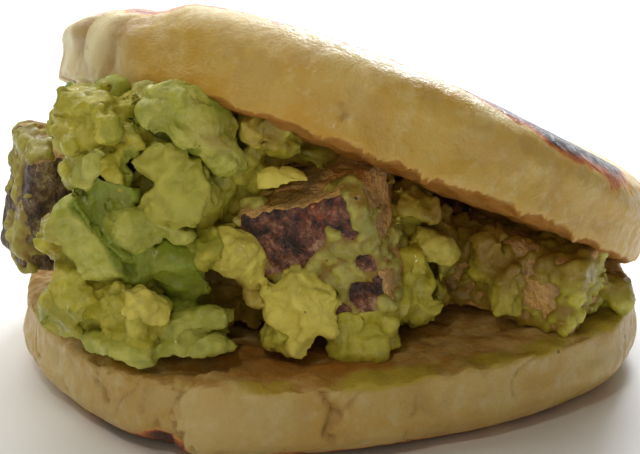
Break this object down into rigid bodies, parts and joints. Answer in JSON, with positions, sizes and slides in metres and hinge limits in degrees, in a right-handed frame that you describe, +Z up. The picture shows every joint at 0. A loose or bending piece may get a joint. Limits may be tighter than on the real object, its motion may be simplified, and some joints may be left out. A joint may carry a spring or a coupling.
{
  "type": "stuffed arepa corn cake",
  "caption": "Griddled corn cake split into an upper and a lower half, opened like a clam round crushed avocado and diced browned meat; held in the hand or served flat",
  "frame": {"origin": "middle of the flat griddled face that the lower half rests on", "axes": "+Z up, -Y towards the open front, +X to the right; the halves meet at the back right"},
  "size_m": [0.0989, 0.0966, 0.0602],
  "materials": {
    "corn_bread": "pale yellow corn dough, browned and charred in spots where it lay on the griddle",
    "seared_meat": "browned meat with a dark, rough crust",
    "crushed_avocado": "moist, crushed avocado",
    "green_avocado": "moist, green outer flesh of avocado",
    "yellow_avocado": "moist, yellow inner flesh of avocado"
  },
  "bodies": {
    "root": {"lower_half": "corn_bread", "upper_half": "corn_bread", "meat_centre": "seared_meat", "meat_left": "seared_meat", "meat_right": "seared_meat", "meat_behind": "seared_meat", "avocado_mash": "crushed_avocado", "avocado_block_left": "crushed_avocado", "avocado_lump_low": "crushed_avocado", "avocado_under": "crushed_avocado", "avocado_side": "crushed_avocado", "avocado_end": "crushed_avocado", "avocado_slab_upper": "green_avocado", "avocado_slice": "green_avocado", "avocado_slab_low": "green_avocado", "avocado_leaves_low": "green_avocado", "avocado_lump_mid": "yellow_avocado", "avocado_shoulder": "yellow_avocado", "avocado_wedge": "yellow_avocado", "avocado_lump_front": "yellow_avocado", "avocado_flake_right": "yellow_avocado", "avocado_flake_top": "yellow_avocado"}
  },
  "joints": []
}
